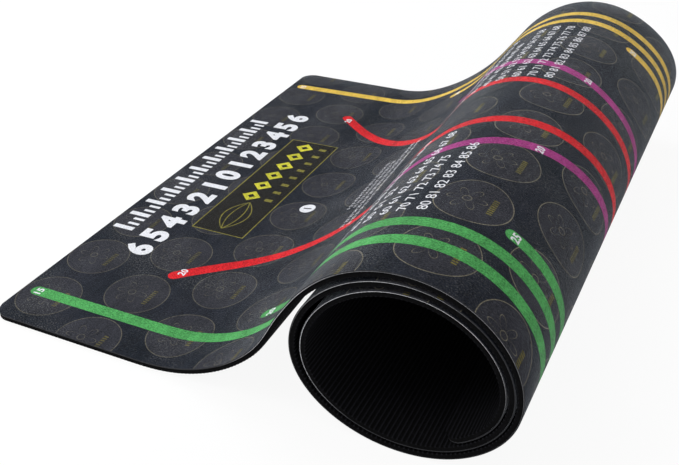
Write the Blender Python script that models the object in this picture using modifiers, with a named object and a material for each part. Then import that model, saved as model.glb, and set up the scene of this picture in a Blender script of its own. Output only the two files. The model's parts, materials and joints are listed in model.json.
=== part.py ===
"""A yoga mat, rolled up from one end with its other end lying flat on the floor.

The mat is two sheets bonded face to face: a natural-rubber base underneath and
a suede cloth face on top.  Both follow one line, the bond line, which runs flat
along the floor, climbs over the roll and winds inwards, rubber side inside.
The flat end is three strips that bend up from the floor one after the other.

Lengths are in metres, +Z is up, and +Y runs along the roll.
"""

import math

import bmesh
import bpy
import numpy as np

# The two sheets
MAT_WIDTH = 0.660
MAT_LENGTH = 1.696
CORNER_RADIUS = 0.018
CLOTH_THICKNESS = 0.0010
RUBBER_THICKNESS = 0.0042
BOND_GAP = 0.0003
TOTAL_THICKNESS = CLOTH_THICKNESS + BOND_GAP + RUBBER_THICKNESS

# The flat end and its bending strips
FLAT_LENGTH = 0.158
STRIP_LENGTH = 0.046
STRIP_NAMES = ("flap_outer", "flap_middle", "flap_inner")
STRIP_GAP = 0.0003

# The climb from the floor onto the roll
RISE_ANGLE = math.radians(58.4)
LIFT_EASE = 0.030
DIP_LENGTH = 0.140
CREST_EASE = 0.012

# The shoulder, where the climb turns over onto the top of the roll
SHOULDER_EASE = 0.010
SHOULDER_RADIUS = 0.102
SETTLE_ANGLE = math.radians(20)

# The roll: its radius of curvature shrinks as it winds, and swells and thins
# twice and three times a turn, as a soft roll does under its own weight
COIL_RADIUS = 0.0895
COIL_SHRINK = 0.00125
OVAL = 0.0160
OVAL_PHASE = math.radians(-9.7)
SAG = 0.0086
SAG_PHASE = math.radians(224)
COIL_DRIFT = 0.0005

# The roll is loose, so its side away from the flat end stands out, most at its
# far end, and the far edge of the climb leaves the floor sooner than the near one,
# which bows out further up, at the crest
SPREAD_NEAR = 0.003
SPREAD_FAR = 0.017
SPREAD_PHASE = math.radians(92)
SPREAD_POWER = 4
CLIMB_LIFT = 0.0096
LIFT_END = 0.430
LIFT_SKEW = 0.8
CREST_BOW = 0.0024
CREST_START = 0.298
CREST_END = 0.408

# How finely the line is walked, and how finely the sheets are faceted
WALK_STEP = 0.0005
FACET_TURN = math.radians(5)
FACET_LENGTH = 0.10
CORNER_STEPS = 6
CORNER_SPACING = 0.0002
LEAST_SPACING = 0.0015
WIDTH_STEPS = 1

RUBBER_COLOR = (0.022, 0.022, 0.024, 1.0)
RUBBER_ROUGHNESS = 0.82
CLOTH_COLOR = (0.055, 0.057, 0.064, 1.0)
CLOTH_ROUGHNESS = 0.95


def coil_radius(turned):
    """Radius of curvature after turning this far past the top of the roll."""
    radius = COIL_RADIUS - COIL_SHRINK * turned
    radius += OVAL * math.cos(2 * turned - OVAL_PHASE)
    radius += SAG * math.cos(3 * turned - SAG_PHASE)
    return radius + COIL_DRIFT * math.cos(turned)


def stretches_before_the_coil(straight):
    """Each stretch from the flat end to the roll's top: length, curvature at its start and end."""
    dip = RISE_ANGLE / (LIFT_EASE / 2 + DIP_LENGTH + CREST_EASE / 2)
    shoulder = -1 / SHOULDER_RADIUS
    coil = -1 / coil_radius(0)
    shoulder_angle = RISE_ANGLE - SETTLE_ANGLE - SHOULDER_EASE / (2 * SHOULDER_RADIUS)
    settle_length = -2 * SETTLE_ANGLE / (shoulder + coil)
    return [
        (FLAT_LENGTH, 0, 0),
        (LIFT_EASE, 0, dip),
        (DIP_LENGTH, dip, dip),
        (CREST_EASE, dip, 0),
        (straight, 0, 0),
        (SHOULDER_EASE, 0, shoulder),
        (shoulder_angle * SHOULDER_RADIUS, shoulder, shoulder),
        (settle_length, shoulder, coil),
    ]


def walk_bond_line(straight):
    """Walk the bond line; return its rows of distance, x, z and heading."""
    distance, x, z, heading = 0.0, 0.0, RUBBER_THICKNESS + BOND_GAP / 2, 0.0
    rows = [(distance, x, z, heading)]

    def step(length, curvature):
        nonlocal distance, x, z, heading
        middle = heading + curvature * length / 2
        distance += length
        x += length * math.cos(middle)
        z += length * math.sin(middle)
        heading += curvature * length
        rows.append((distance, x, z, heading))

    for length, start, end in stretches_before_the_coil(straight):
        count = math.ceil(length / WALK_STEP)
        for index in range(count):
            part = (index + 0.5) / count
            step(length / count, start + (end - start) * part)
    while MAT_LENGTH - distance > WALK_STEP / 1000:
        length = min(WALK_STEP, MAT_LENGTH - distance)
        step(length, -1 / coil_radius(-heading))
    return np.array(rows)


def stand_out(distance, heading, y):
    """How far the sheets stand out from the bond line, square to it, at a place across the mat."""
    across = y / MAT_WIDTH + 0.5
    out = 0.0
    if heading < 0:
        spread = SPREAD_NEAR + (SPREAD_FAR - SPREAD_NEAR) * across
        out += spread * max(0.0, math.cos(heading + SPREAD_PHASE)) ** SPREAD_POWER
    along = (distance - FLAT_LENGTH) / (LIFT_END - FLAT_LENGTH)
    if 0 < along < 1:
        out += CLIMB_LIFT * across * math.sin(math.pi * along**LIFT_SKEW) ** 2
    along = (distance - CREST_START) / (CREST_END - CREST_START)
    if 0 < along < 1:
        out += CREST_BOW * (1 - across) * math.sin(math.pi * along) ** 2
    return out


def lowest_cloth(rows):
    """Height of the lowest point of the cloth's outer side, on the roll."""
    _, _, z, heading = rows.T
    cloth = z + (BOND_GAP / 2 + CLOTH_THICKNESS) * np.cos(heading)
    return cloth[heading < 0].min()


def centred_bond_line():
    """The bond line, climbing just far enough for the roll to rest on the floor, centred on x = 0."""
    straight = -lowest_cloth(walk_bond_line(0)) / math.sin(RISE_ANGLE)
    rows = walk_bond_line(straight)
    distance, x, _, heading = rows.T
    far_edge = [stand_out(*place, MAT_WIDTH / 2) for place in zip(distance, heading)]
    cloth_x = x - (BOND_GAP / 2 + CLOTH_THICKNESS + np.array(far_edge)) * np.sin(heading)
    rows[:, 1] -= (x.min() + cloth_x.max()) / 2
    return rows


BOND_LINE = centred_bond_line()


def place_on_line(distance, offset, y=0.0):
    """Where the bond is at a distance along the mat, moved off it towards the cloth side: x, z."""
    x, z, heading = (np.interp(distance, BOND_LINE[:, 0], column) for column in BOND_LINE[:, 1:].T)
    offset += stand_out(distance, heading, y)
    return x - offset * math.sin(heading), z + offset * math.cos(heading)


def facet_distances(start, end):
    """Distances along the mat at which a sheet has a row of points, closer together where it bends."""
    distance = BOND_LINE[:, 0]
    turned = np.abs(np.diff(BOND_LINE[:, 3], prepend=0.0))
    gone = np.diff(distance, prepend=0.0)
    facets = np.cumsum(turned / FACET_TURN + gone / FACET_LENGTH)
    first, last = np.interp((start, end), distance, facets)
    count = math.ceil(last - first)
    found = list(np.interp(np.linspace(first, last, count + 1), facets, distance))
    found += [FLAT_LENGTH, (CREST_START + CREST_END) / 2]
    for index in range(CORNER_STEPS + 1):
        inset = CORNER_RADIUS * (1 - math.cos(math.pi / 2 * index / CORNER_STEPS))
        found += [inset, MAT_LENGTH - inset]
    kept = []
    for value in sorted(found):
        in_corner = min(value, MAT_LENGTH - value) < CORNER_RADIUS
        spacing = CORNER_SPACING if in_corner else LEAST_SPACING
        if start <= value <= end and (not kept or value - kept[-1] > spacing):
            kept.append(value)
    kept[-1] = end
    return kept


def half_width(distance):
    """Half the mat's width at a distance along it, drawn in round its corners."""
    to_end = min(distance, MAT_LENGTH - distance)
    if to_end >= CORNER_RADIUS:
        return MAT_WIDTH / 2
    inset = CORNER_RADIUS - to_end
    return MAT_WIDTH / 2 - CORNER_RADIUS + math.sqrt(CORNER_RADIUS**2 - inset**2)


def make_material(name, color, roughness):
    """A plain Principled material."""
    material = bpy.data.materials.new(name)
    material.use_nodes = True
    shader = material.node_tree.nodes["Principled BSDF"]
    shader.inputs["Base Color"].default_value = color
    shader.inputs["Roughness"].default_value = roughness
    shader.inputs["Metallic"].default_value = 0.0
    material.diffuse_color = color
    return material


def make_pivot(name, collection, parent, place):
    """An empty that a body's sheets hang from, at its bending line."""
    pivot = bpy.data.objects.new(name, None)
    pivot.empty_display_size = 0.05
    collection.objects.link(pivot)
    pivot.parent = parent
    parent_place = parent["place"] if parent else (0.0, 0.0, 0.0)
    pivot.location = [own - base for own, base in zip(place, parent_place)]
    pivot["place"] = place
    return pivot


def make_sheet(name, collection, pivot, span, side, thickness, material):
    """A stretch of one sheet: a grid laid along the bond line, then thickened away from it.

    side is +1 for the cloth and -1 for the rubber.
    """
    distances = facet_distances(*span)
    mesh = bpy.data.meshes.new(name)
    grid = bmesh.new()
    bmesh.ops.create_grid(grid, x_segments=len(distances) - 1, y_segments=WIDTH_STEPS, size=1.0)
    origin_x, _, origin_z = pivot["place"]
    for vertex in grid.verts:
        row = round((vertex.co.x + 1) / 2 * (len(distances) - 1))
        y = vertex.co.y * half_width(distances[row])
        x, z = place_on_line(distances[row], side * BOND_GAP / 2, y)
        vertex.co = (x - origin_x, y, z - origin_z)
    grid.to_mesh(mesh)
    grid.free()
    mesh.materials.append(material)
    sheet = bpy.data.objects.new(name, mesh)
    collection.objects.link(sheet)
    sheet.parent = pivot
    wall = sheet.modifiers.new("thickness", "SOLIDIFY")
    wall.thickness = thickness
    wall.offset = side
    wall.use_even_offset = True
    mesh.shade_smooth()
    return sheet


def make_body(name, collection, pivot, span, materials):
    """Both sheets of one body."""
    make_sheet("rubber_base_" + name, collection, pivot, span, -1, RUBBER_THICKNESS, materials["rubber"])
    make_sheet("suede_face_" + name, collection, pivot, span, 1, CLOTH_THICKNESS, materials["cloth"])


def main():
    """Build the mat."""
    for item in list(bpy.data.objects):
        bpy.data.objects.remove(item, do_unlink=True)
    collection = bpy.data.collections.new("yoga_mat")
    bpy.context.scene.collection.children.link(collection)
    materials = {
        "rubber": make_material("natural_rubber", RUBBER_COLOR, RUBBER_ROUGHNESS),
        "cloth": make_material("printed_suede", CLOTH_COLOR, CLOTH_ROUGHNESS),
    }

    roll_pivot = make_pivot("roll_pivot", collection, None, (0.0, 0.0, 0.0))
    flap_length = STRIP_LENGTH * len(STRIP_NAMES)
    make_body("roll", collection, roll_pivot, (flap_length + STRIP_GAP / 2, MAT_LENGTH), materials)

    parent = roll_pivot
    for index, name in reversed(list(enumerate(STRIP_NAMES))):
        near_end = index * STRIP_LENGTH
        bend = near_end + STRIP_LENGTH
        bend_x, _ = place_on_line(bend, 0)
        pivot = make_pivot(name + "_pivot", collection, parent, (bend_x, 0.0, TOTAL_THICKNESS))
        span = (near_end + STRIP_GAP / 2 if index else 0.0, bend - STRIP_GAP / 2)
        make_body(name, collection, pivot, span, materials)
        parent = pivot


main()
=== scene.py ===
"""The looks of a partly rolled yoga mat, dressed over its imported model.

The mat is a ribbed natural-rubber base with a printed suede face bonded to it.
Both sheets, and the white ink on the face, are made flat at their cut size, on a
plan of the mat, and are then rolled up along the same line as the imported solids.

On the plan x is the distance from the flat end, y is the place across the mat and
z is the height over the bond.  Lengths are in metres, with +Z up.
"""

from __future__ import annotations

import json
import logging
import math
from dataclasses import asdict, dataclass, field
from enum import Enum
from typing import Any, Iterable, Sequence

import bpy
import numpy as np
from mathutils import Matrix, Vector

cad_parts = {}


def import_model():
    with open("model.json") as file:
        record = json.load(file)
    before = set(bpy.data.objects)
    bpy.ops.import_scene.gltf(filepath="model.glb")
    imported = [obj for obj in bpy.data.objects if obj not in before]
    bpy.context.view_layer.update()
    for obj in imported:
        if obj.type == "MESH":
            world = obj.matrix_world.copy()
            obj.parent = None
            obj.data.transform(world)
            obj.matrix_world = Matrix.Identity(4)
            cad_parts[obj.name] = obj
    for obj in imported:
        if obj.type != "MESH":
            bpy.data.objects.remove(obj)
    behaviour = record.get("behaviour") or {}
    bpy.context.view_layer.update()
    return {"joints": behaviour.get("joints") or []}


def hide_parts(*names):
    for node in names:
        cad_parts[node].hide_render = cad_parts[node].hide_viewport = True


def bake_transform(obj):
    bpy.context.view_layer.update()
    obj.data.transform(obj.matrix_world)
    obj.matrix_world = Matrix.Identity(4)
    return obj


LOG = logging.getLogger("yoga_mat")
PLAN_MAP = "plan"
DEPTH_NAME = "depth"
RIB_PITCH = 0.0041
COUNT_STEP = 10

Color = tuple[float, float, float, float]
Socket = bpy.types.NodeSocket


def display(red: int, green: int, blue: int) -> Color:
    """Turn a colour as a screen shows it into the linear one that a shader takes.

    Args:
        red: Red, 0 to 255.
        green: Green, 0 to 255.
        blue: Blue, 0 to 255.

    Returns:
        The linear colour, with an alpha of 1.
    """
    shares = np.array([red, green, blue]) / 255
    linear = np.where(shares <= 0.04045, shares / 12.92, ((shares + 0.055) / 1.055) ** 2.4)
    return (*(float(value) for value in linear), 1.0)


WHITE = (1.0, 1.0, 1.0, 1.0)
WHITE_INK = display(222, 222, 227)
DARK_INK = display(52, 53, 58)
CUT_RUBBER = display(9, 9, 10)
CUT_PORES = 0.8


class Side(Enum):
    """The two bonded sheets, by the way that each lies from the bond."""

    FACE = 1
    BASE = -1


class Layer(Enum):
    """What a film of ink lies on, by the number of films under it."""

    ON_SUEDE = 0
    ON_INK = 1


class Easing(Enum):
    """How a value goes from one end of a range to the other."""

    EVEN = "LINEAR"
    SMOOTH = "SMOOTHSTEP"


@dataclass
class MatLine:
    """The mat's outline, and the line that its bond follows from the flat end into the roll."""

    width: float = 0.660
    length: float = 1.696
    corner_radius: float = 0.018
    cloth: float = 0.0010
    rubber: float = 0.0042
    bond_gap: float = 0.0003

    flat_length: float = 0.158
    rise_angle: float = math.radians(58.4)
    lift_ease: float = 0.030
    dip_length: float = 0.140
    crest_ease: float = 0.012
    shoulder_ease: float = 0.010
    shoulder_radius: float = 0.102
    settle_angle: float = math.radians(20)

    coil_start_radius: float = 0.0895
    coil_shrink: float = 0.00125
    oval: float = 0.0160
    oval_phase: float = math.radians(-9.7)
    sag: float = 0.0086
    sag_phase: float = math.radians(224)
    coil_drift: float = 0.0005

    spread_near: float = 0.003
    spread_far: float = 0.017
    spread_phase: float = math.radians(92)
    spread_power: int = 4
    climb_lift: float = 0.0096
    lift_end: float = 0.430
    lift_skew: float = 0.8
    crest_bow: float = 0.0024
    crest_start: float = 0.298
    crest_end: float = 0.408

    ripple: float = 0.0005
    ripple_start: float = 0.170
    ripple_end: float = 0.700
    ripple_waves: tuple[tuple[float, float, float], ...] = (
        (16.0, 11.0, 0.4),
        (-23.0, 19.0, 1.7),
        (41.0, -6.0, 3.1),
    )

    step: float = 0.0005
    rows: np.ndarray = field(init=False, repr=False)

    def __post_init__(self) -> None:
        """Walk the line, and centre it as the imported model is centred."""
        straight = -self.lowest_cloth(self.walk(0.0)) / math.sin(self.rise_angle)
        self.rows = self.walk(straight)
        distance, x, _, heading = self.rows.T
        reach = self.bond_gap / 2 + self.cloth + self.stand_out(distance, heading, self.width / 2)
        self.rows[:, 1] -= (x.min() + (x - reach * np.sin(heading)).max()) / 2

    def coil_radius(self, turned: float) -> float:
        """Find the coil's radius of curvature.

        Args:
            turned: How far the line has turned past the roll's top, in radians.

        Returns:
            The radius there.
        """
        radius = self.coil_start_radius - self.coil_shrink * turned
        radius += self.oval * math.cos(2 * turned - self.oval_phase)
        radius += self.sag * math.cos(3 * turned - self.sag_phase)
        return radius + self.coil_drift * math.cos(turned)

    def stretches(self, straight: float) -> list[tuple[float, float, float]]:
        """The stretches before the coil.

        Args:
            straight: Length of the straight part of the climb.

        Returns:
            Each stretch's length, and the curvature at its start and at its end.
        """
        dip = self.rise_angle / (self.lift_ease / 2 + self.dip_length + self.crest_ease / 2)
        shoulder = -1 / self.shoulder_radius
        coil = -1 / self.coil_radius(0.0)
        eased = self.shoulder_ease / (2 * self.shoulder_radius)
        shoulder_angle = self.rise_angle - self.settle_angle - eased
        settle_length = -2 * self.settle_angle / (shoulder + coil)
        return [
            (self.flat_length, 0.0, 0.0),
            (self.lift_ease, 0.0, dip),
            (self.dip_length, dip, dip),
            (self.crest_ease, dip, 0.0),
            (straight, 0.0, 0.0),
            (self.shoulder_ease, 0.0, shoulder),
            (shoulder_angle * self.shoulder_radius, shoulder, shoulder),
            (settle_length, shoulder, coil),
        ]

    def walk(self, straight: float) -> np.ndarray:
        """Walk the whole line.

        Args:
            straight: Length of the straight part of the climb.

        Returns:
            Rows of distance, x, z and heading.
        """
        distance, x, z, heading = 0.0, 0.0, self.rubber + self.bond_gap / 2, 0.0
        rows = [(distance, x, z, heading)]

        def advance(length: float, curvature: float) -> None:
            """Go on along the line.

            Args:
                length: How far.
                curvature: How much the line turns upwards, in radians to the metre.
            """
            nonlocal distance, x, z, heading
            middle = heading + curvature * length / 2
            distance += length
            x += length * math.cos(middle)
            z += length * math.sin(middle)
            heading += curvature * length
            rows.append((distance, x, z, heading))

        for length, start, end in self.stretches(straight):
            count = math.ceil(length / self.step)
            for index in range(count):
                advance(length / count, start + (end - start) * (index + 0.5) / count)
        while self.length - distance > self.step / 1000:
            length = min(self.step, self.length - distance)
            advance(length, -1 / self.coil_radius(-heading))
        return np.array(rows)

    def lowest_cloth(self, rows: np.ndarray) -> float:
        """Find how low the face reaches on the roll.

        Args:
            rows: A walked line.

        Returns:
            The height of its lowest point.
        """
        _, _, z, heading = rows.T
        cloth = z + (self.bond_gap / 2 + self.cloth) * np.cos(heading)
        return float(cloth[heading < 0].min())

    def stand_out(self, distance: Any, heading: Any, across: Any) -> np.ndarray:
        """Find how far the sheets stand out from the line.

        The roll spreads to its far end, the climb's far edge lifts, and its near edge bows out at
        the crest.

        Args:
            distance: Distances along the mat.
            heading: The line's headings there.
            across: Places across the mat.

        Returns:
            The offsets, outwards.
        """
        share = across / self.width + 0.5
        spread = self.spread_near + (self.spread_far - self.spread_near) * share
        lobe = np.clip(np.cos(heading + self.spread_phase), 0, None) ** self.spread_power
        along = (distance - self.flat_length) / (self.lift_end - self.flat_length)
        lift = np.sin(np.pi * np.clip(along, 0, 1) ** self.lift_skew) ** 2
        crest = (distance - self.crest_start) / (self.crest_end - self.crest_start)
        bow = np.sin(np.pi * np.clip(crest, 0, 1)) ** 2
        climb = self.climb_lift * share * lift + self.crest_bow * (1 - share) * bow
        return np.where(heading < 0, spread * lobe, 0.0) + climb

    def rippled(self, distance: np.ndarray, across: np.ndarray) -> np.ndarray:
        """Find the slow ripples in the climb and in the roll's outer turn.

        Args:
            distance: Distances along the mat.
            across: Places across it.

        Returns:
            The ripples' heights.
        """
        share = (distance - self.ripple_start) / (self.ripple_end - self.ripple_start)
        window = np.sin(np.pi * np.clip(share, 0, 1)) ** 2
        waves = sum(np.sin(a * distance + b * across + c) for a, b, c in self.ripple_waves)
        return self.ripple * window * (1 + waves / len(self.ripple_waves)) / 2

    def half_width(self, distance: np.ndarray) -> np.ndarray:
        """Find half the mat's width, which draws in round its corners.

        Args:
            distance: Distances along the mat.

        Returns:
            Half the width at each.
        """
        to_end = np.minimum(distance, self.length - distance)
        inset = np.clip(self.corner_radius - to_end, 0, self.corner_radius)
        rounded = np.sqrt(self.corner_radius**2 - inset**2)
        return self.width / 2 - self.corner_radius + rounded

    def roll_up(self, plan: np.ndarray, side: Side) -> np.ndarray:
        """Roll up points of the plan.

        Args:
            plan: Rows of distance, place across and height over the bond.
            side: The sheet that the points belong to.

        Returns:
            Where the points lie on the rolled mat.
        """
        distance, across, height = plan.T
        x, z, heading = (
            np.interp(distance, self.rows[:, 0], column) for column in self.rows[:, 1:].T
        )
        offset = height + side.value * self.bond_gap / 2
        offset = offset + self.stand_out(distance, heading, across) + self.rippled(distance, across)
        return np.stack([x - offset * np.sin(heading), across, z + offset * np.cos(heading)], 1)


class Graph:
    """A node tree that is written one call a node."""

    def __init__(self, tree: bpy.types.NodeTree) -> None:
        """Work on a node tree."""
        self.tree = tree

    def put(self, socket: Socket, value: Any) -> None:
        """Feed an input.

        Args:
            socket: The input.
            value: An output to link it to, or the number, vector or colour to set it to.
        """
        if isinstance(value, bpy.types.NodeSocket):
            self.tree.links.new(value, socket)
        else:
            socket.default_value = value

    def node(self, kind: str, inputs: dict[str, Any] | None = None, **settings: Any) -> bpy.types.Node:
        """Add a node.

        Args:
            kind: The node's type.
            inputs: What its named inputs are fed with.
            **settings: Values of its own properties.

        Returns:
            The node.
        """
        made = self.tree.nodes.new(kind)
        for name, value in settings.items():
            setattr(made, name, value)
        for name, value in (inputs or {}).items():
            self.put(made.inputs[name], value)
        return made

    def math(self, operation: str, *values: Any) -> Socket:
        """Add a Math node.

        Args:
            operation: What it works out.
            *values: What its inputs are fed with.

        Returns:
            Its result.
        """
        made = self.node("ShaderNodeMath", operation=operation)
        for socket, value in zip(made.inputs, values):
            self.put(socket, value)
        return made.outputs[0]

    def plus(self, first: Any, second: Any) -> Socket:
        """Add two values."""
        return self.math("ADD", first, second)

    def minus(self, first: Any, second: Any) -> Socket:
        """Take the second value from the first."""
        return self.math("SUBTRACT", first, second)

    def times(self, first: Any, second: Any) -> Socket:
        """Multiply two values."""
        return self.math("MULTIPLY", first, second)

    def over(self, first: Any, second: Any) -> Socket:
        """Divide the first value by the second."""
        return self.math("DIVIDE", first, second)

    def times_plus(self, first: Any, second: Any, third: Any) -> Socket:
        """Multiply two values and add a third."""
        return self.math("MULTIPLY_ADD", first, second, third)

    def largest(self, first: Any, second: Any) -> Socket:
        """Take the larger of two values."""
        return self.math("MAXIMUM", first, second)

    def absolute(self, value: Any) -> Socket:
        """Take away a value's sign."""
        return self.math("ABSOLUTE", value)

    def length(self, first: Any, second: Any) -> Socket:
        """Find the long side of a right triangle from its other two."""
        return self.math("SQRT", self.times_plus(first, first, self.times(second, second)))

    def span(self, value: Any, start: Any, end: Any, easing: Easing = Easing.EVEN) -> Socket:
        """Find how far a value has gone from start to end, kept from 0 to 1."""
        inputs = {"Value": value, "From Min": start, "From Max": end}
        return self.node("ShaderNodeMapRange", inputs, interpolation_type=easing.value).outputs["Result"]

    def blend(self, factor: Any, first: Any, second: Any) -> Socket:
        """Mix two colours.

        Args:
            factor: How much of the second there is, 0 to 1.
            first: The first colour.
            second: The second colour.

        Returns:
            The mixed colour.
        """
        made = self.node("ShaderNodeMix", data_type="RGBA")
        for index, value in ((0, factor), (6, first), (7, second)):
            self.put(made.inputs[index], value)
        return made.outputs[2]

    def shade(self, color: Any, amount: Any) -> Socket:
        """Make a colour lighter or darker.

        Args:
            color: The colour.
            amount: What it is multiplied by.

        Returns:
            The new colour.
        """
        made = self.node("ShaderNodeVectorMath", operation="SCALE")
        self.put(made.inputs[0], color if isinstance(color, bpy.types.NodeSocket) else color[:3])
        self.put(made.inputs["Scale"], amount)
        return made.outputs[0]

    def parts(self, vector: Socket) -> Any:
        """Split a vector into its x, y and z."""
        return self.node("ShaderNodeSeparateXYZ", {"Vector": vector}).outputs

    def stretched(self, vector: Socket, scale: tuple[float, float, float]) -> Socket:
        """Stretch the space that a texture is read in."""
        return self.node("ShaderNodeMapping", {"Vector": vector, "Scale": scale}).outputs[0]

    def plan(self) -> Socket:
        """Read the mat's own plan from the piece's UV map."""
        return self.node("ShaderNodeUVMap", uv_map=PLAN_MAP).outputs[0]

    def depth(self) -> Socket:
        """Read how deep a place lies in its sheet from the bond, 0 to 1."""
        return self.node("ShaderNodeAttribute", attribute_name=DEPTH_NAME).outputs["Fac"]

    def place(self, group: bpy.types.NodeTree, inputs: dict[str, Any]) -> Any:
        """Place a node group.

        Args:
            group: The group.
            inputs: What its named inputs are fed with.

        Returns:
            Its outputs, by name.
        """
        made = self.node("ShaderNodeGroup", node_tree=group)
        for name, value in inputs.items():
            self.put(made.inputs[name], value)
        return made.outputs


@dataclass(frozen=True)
class Noise:
    """A kind of noise, and the range of it that is spread over 0 to 1."""

    scale: float
    detail: float
    roughness: float
    distortion: float = 0.0
    spread: tuple[float, float] | None = None

    def read(self, graph: Graph, where: Socket) -> Socket:
        """Read the noise.

        Args:
            graph: The graph to work in.
            where: The place to read it at.

        Returns:
            Its value there, 0 to 1.
        """
        inputs = {"Vector": where, "Scale": self.scale, "Detail": self.detail}
        inputs |= {"Roughness": self.roughness, "Distortion": self.distortion}
        value = graph.node("ShaderNodeTexNoise", inputs).outputs[0]
        return graph.span(value, *self.spread) if self.spread else value


@dataclass(frozen=True)
class Wander:
    """How the print strays from square: out a little along the flat end, and back in on the climb.

    A printed place moves away from the pivot, across the mat, by its distance from it times a lean,
    and past the climb also along the mat, by its distance from a second pivot times a slip.
    """

    pivot: float = -0.300
    lean_at_start: float = -0.006
    rise: float = 0.018
    rise_end: float = 0.260
    fall: float = 0.0235
    fall_end: float = 0.430
    slip_pivot: float = -0.200
    slip: float = 0.026

    def moved(self, distance: np.ndarray, across: np.ndarray) -> tuple[np.ndarray, np.ndarray]:
        """Find where printed places come to lie.

        Args:
            distance: Printed distances from the flat end.
            across: Printed places across.

        Returns:
            The distances and places across on the mat.
        """
        risen = np.clip(distance / self.rise_end, 0, 1)
        fallen = np.clip((distance - self.rise_end) / (self.fall_end - self.rise_end), 0, 1)
        fallen = fallen**2 * (3 - 2 * fallen)
        lean = self.lean_at_start + self.rise * risen - self.fall * fallen
        slipped = self.slip * (across - self.slip_pivot) * fallen
        return distance + slipped, across + (across - self.pivot) * lean

    def printed(self, graph: Graph, along: Socket, across: Socket) -> tuple[Socket, Socket]:
        """Find the printed place that lies at a place on the mat.

        Args:
            graph: The graph to work in.
            along: Distance from the flat end on the mat.
            across: Place across the mat.

        Returns:
            The printed distance and place across.
        """
        risen = graph.span(along, 0.0, self.rise_end)
        fallen = graph.span(along, self.rise_end, self.fall_end, Easing.SMOOTH)
        lean = graph.times_plus(risen, self.rise, self.lean_at_start)
        lean = graph.times_plus(fallen, -self.fall, lean)
        arm = graph.minus(across, self.pivot)
        reach = graph.times(graph.minus(across, self.slip_pivot), self.slip)
        slipped = graph.times(reach, fallen)
        moved_across = graph.minus(across, graph.times(arm, lean))
        return graph.minus(along, slipped), moved_across


def start_group(
    name: str, inputs: dict[str, str], outputs: Iterable[str]
) -> tuple[bpy.types.NodeTree, Graph, dict[str, Socket], bpy.types.Node]:
    """Start a shader node group.

    Args:
        name: The group's name.
        inputs: Its input sockets' names, and Vector or Float for each.
        outputs: The names of its output values.

    Returns:
        The group, its graph, its input sockets by name, and its output node.
    """
    tree = bpy.data.node_groups.new(name, "ShaderNodeTree")
    for label, kind in inputs.items():
        tree.interface.new_socket(label, in_out="INPUT", socket_type="NodeSocket" + kind)
    for label in outputs:
        tree.interface.new_socket(label, in_out="OUTPUT", socket_type="NodeSocketFloat")
    graph = Graph(tree)
    entry = graph.node("NodeGroupInput")
    return tree, graph, {label: entry.outputs[label] for label in inputs}, graph.node("NodeGroupOutput")


@dataclass(frozen=True)
class Nap:
    """The suede's short brushed nap: fine specks and fibres, brushed strokes and slow patches."""

    specks: Noise = Noise(700.0, 3.0, 0.7)
    fibres: Noise = Noise(1.0, 2.0, 0.6)
    fibre_scale: tuple[float, float, float] = (300.0, 1100.0, 900.0)
    strokes: Noise = Noise(1.0, 4.0, 0.65, 0.8)
    stroke_scale: tuple[float, float, float] = (95.0, 30.0, 60.0)
    patches: Noise = Noise(17.0, 3.0, 0.55)
    speck_share: float = 0.6
    low: float = 0.39
    high: float = 0.61
    middle: float = 0.5
    stroke_height: float = 0.5

    def group(self) -> bpy.types.NodeTree:
        """Build the nap as a node group.

        Returns:
            The group: Shade multiplies a colour, Height feeds a bump.
        """
        tree, graph, given, out = start_group(
            "suede_nap",
            {"Where": "Vector", "Speckle": "Float", "Strokes": "Float", "Patchiness": "Float"},
            ("Shade", "Height"),
        )
        where = given["Where"]
        specks = self.specks.read(graph, where)
        fibres = self.fibres.read(graph, graph.stretched(where, self.fibre_scale))
        strokes = self.strokes.read(graph, graph.stretched(where, self.stroke_scale))
        patches = self.patches.read(graph, where)
        mixed = graph.times_plus(specks, self.speck_share, graph.times(fibres, 1 - self.speck_share))
        fine = graph.span(mixed, self.low, self.high)
        shade = 1.0
        for layer, amount in ((fine, "Speckle"), (strokes, "Strokes"), (patches, "Patchiness")):
            shade = graph.times_plus(graph.minus(layer, self.middle), given[amount], shade)
        graph.put(out.inputs["Shade"], shade)
        graph.put(out.inputs["Height"], graph.times_plus(strokes, self.stroke_height, fine))
        return tree


@dataclass(frozen=True)
class StripeRule:
    """The shape of a printed line: a band with a round start, straight or fanning inwards."""

    width: float = 0.0130
    softness: float = 0.0005

    def group(self) -> bpy.types.NodeTree:
        """Build the line as a node group.

        Its middle is at Settle + Spread * exp((Start - distance) / Run) across the mat.

        Returns:
            The group: Mask is 1 on the line.
        """
        names = ("Along", "Across", "Start", "Settle", "Spread", "Run")
        tree, graph, given, out = start_group(
            "printed_stripe", dict.fromkeys(names, "Float"), ("Mask",)
        )
        past = graph.minus(given["Along"], given["Start"])
        before = graph.math("MINIMUM", past, 0.0)
        gone_on = graph.over(graph.largest(past, 0.0), given["Run"])
        decay = graph.math("EXPONENT", graph.times(gone_on, -1.0))
        fan = graph.times(given["Spread"], decay)
        slope = graph.over(fan, given["Run"])
        tilt = graph.math("SQRT", graph.times_plus(slope, slope, 1.0))
        from_settle = graph.minus(given["Across"], given["Settle"])
        off = graph.times_plus(slope, before, graph.minus(from_settle, fan))
        beside = graph.over(graph.absolute(off), tilt)
        aside = graph.minus(from_settle, given["Spread"])
        lean = graph.over(given["Spread"], given["Run"])
        short = graph.math("LESS_THAN", past, graph.times(aside, lean))
        extra = graph.minus(graph.length(past, aside), beside)
        gone = graph.times_plus(extra, short, beside)
        half = self.width / 2
        mask = graph.span(gone, half + self.softness / 2, half - self.softness / 2)
        graph.put(out.inputs["Mask"], mask)
        return tree


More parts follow.
